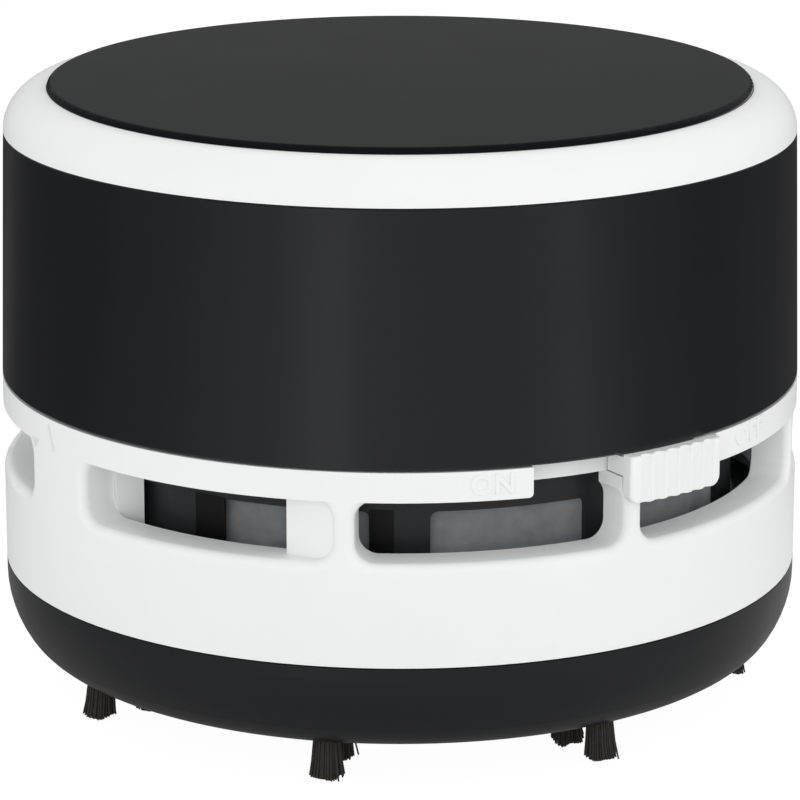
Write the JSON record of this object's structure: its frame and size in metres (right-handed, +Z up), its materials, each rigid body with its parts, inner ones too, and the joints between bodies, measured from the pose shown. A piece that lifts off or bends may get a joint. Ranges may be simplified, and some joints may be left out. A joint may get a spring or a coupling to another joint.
{
  "type": "desktop mini vacuum cleaner",
  "caption": "Small round desktop crumb vacuum: lift-off base with brushes and suction inlet, caged filter, fan with outlet windows, battery bay under a twist cap, and a side slide switch.",
  "frame": {"origin": "on the table under the middle of the round body", "axes": "+Z up, the slide switch at the front (-Y) and a little to the right (+X)"},
  "size_m": [0.085, 0.085, 0.0656],
  "materials": {
    "black_gloss": "glossy",
    "black_matte": "matte",
    "disc_black": "satin",
    "white_gloss": "glossy",
    "white_matte": "matte",
    "bristle": "matte",
    "mesh": "woven",
    "seal_rubber": "matte",
    "foam": "matte",
    "steel": "brushed",
    "plated": "plated",
    "bronze": "satin",
    "ferrite": "matte",
    "winding": "satin",
    "cell": "printed"
  },
  "bodies": {
    "base": {"base_bowl": "black_gloss", "outer_bristle_tufts": "bristle", "inner_bristle_tufts": "bristle"},
    "filter": {"filter_gasket": "seal_rubber", "filter_frame": "black_matte", "filter_mesh": "mesh"},
    "main": {"ring_housing": "white_gloss", "motor_deck": "white_gloss", "motor_cushion": "foam", "motor_can": "steel", "motor_end_cap": "white_matte", "motor_bushes": "bronze", "motor_magnets": "ferrite", "motor_terminals": "bronze", "motor_strap": "steel", "strap_screws": "plated", "battery_tray": "white_matte", "battery_cells": "cell", "cell_link_plate": "plated", "cell_contact_plates": "plated", "switch_contacts": "bronze"},
    "rotor": {"motor_shaft": "steel", "motor_armature": "winding", "impeller": "black_matte"},
    "cap": {"cap_shell": "white_gloss", "band_sleeve": "black_gloss", "top_disc": "disc_black"},
    "switch": {"switch_knob": "white_gloss", "switch_carrier": "white_matte", "switch_wiper": "bronze"}
  },
  "joints": [
    {"name": "main_lift", "type": "slide", "parent": "base", "child": "main", "axis": [0, 0, 1], "range_m": [0, 0.04]},
    {"name": "filter_lift", "type": "slide", "parent": "base", "child": "filter", "axis": [0, 0, 1], "range_m": [0, 0.02]},
    {"name": "cap_twist", "type": "hinge", "parent": "main", "child": "cap", "pos_m": [0, 0, 0.045], "axis": [0, 0, 1], "range_deg": [0, 15]},
    {"name": "switch_slide", "type": "hinge", "parent": "main", "child": "switch", "pos_m": [0, 0, 0.033], "axis": [0, 0, 1], "range_deg": [-9.5, 0]},
    {"name": "fan_spin", "type": "hinge", "parent": "main", "child": "rotor", "pos_m": [0, 0, 0.03], "axis": [0, 0, 1], "continuous": true}
  ],
  "couplings": [
    {"joint": "filter_lift", "follows": "main_lift", "ratio": 0.5}
  ]
}
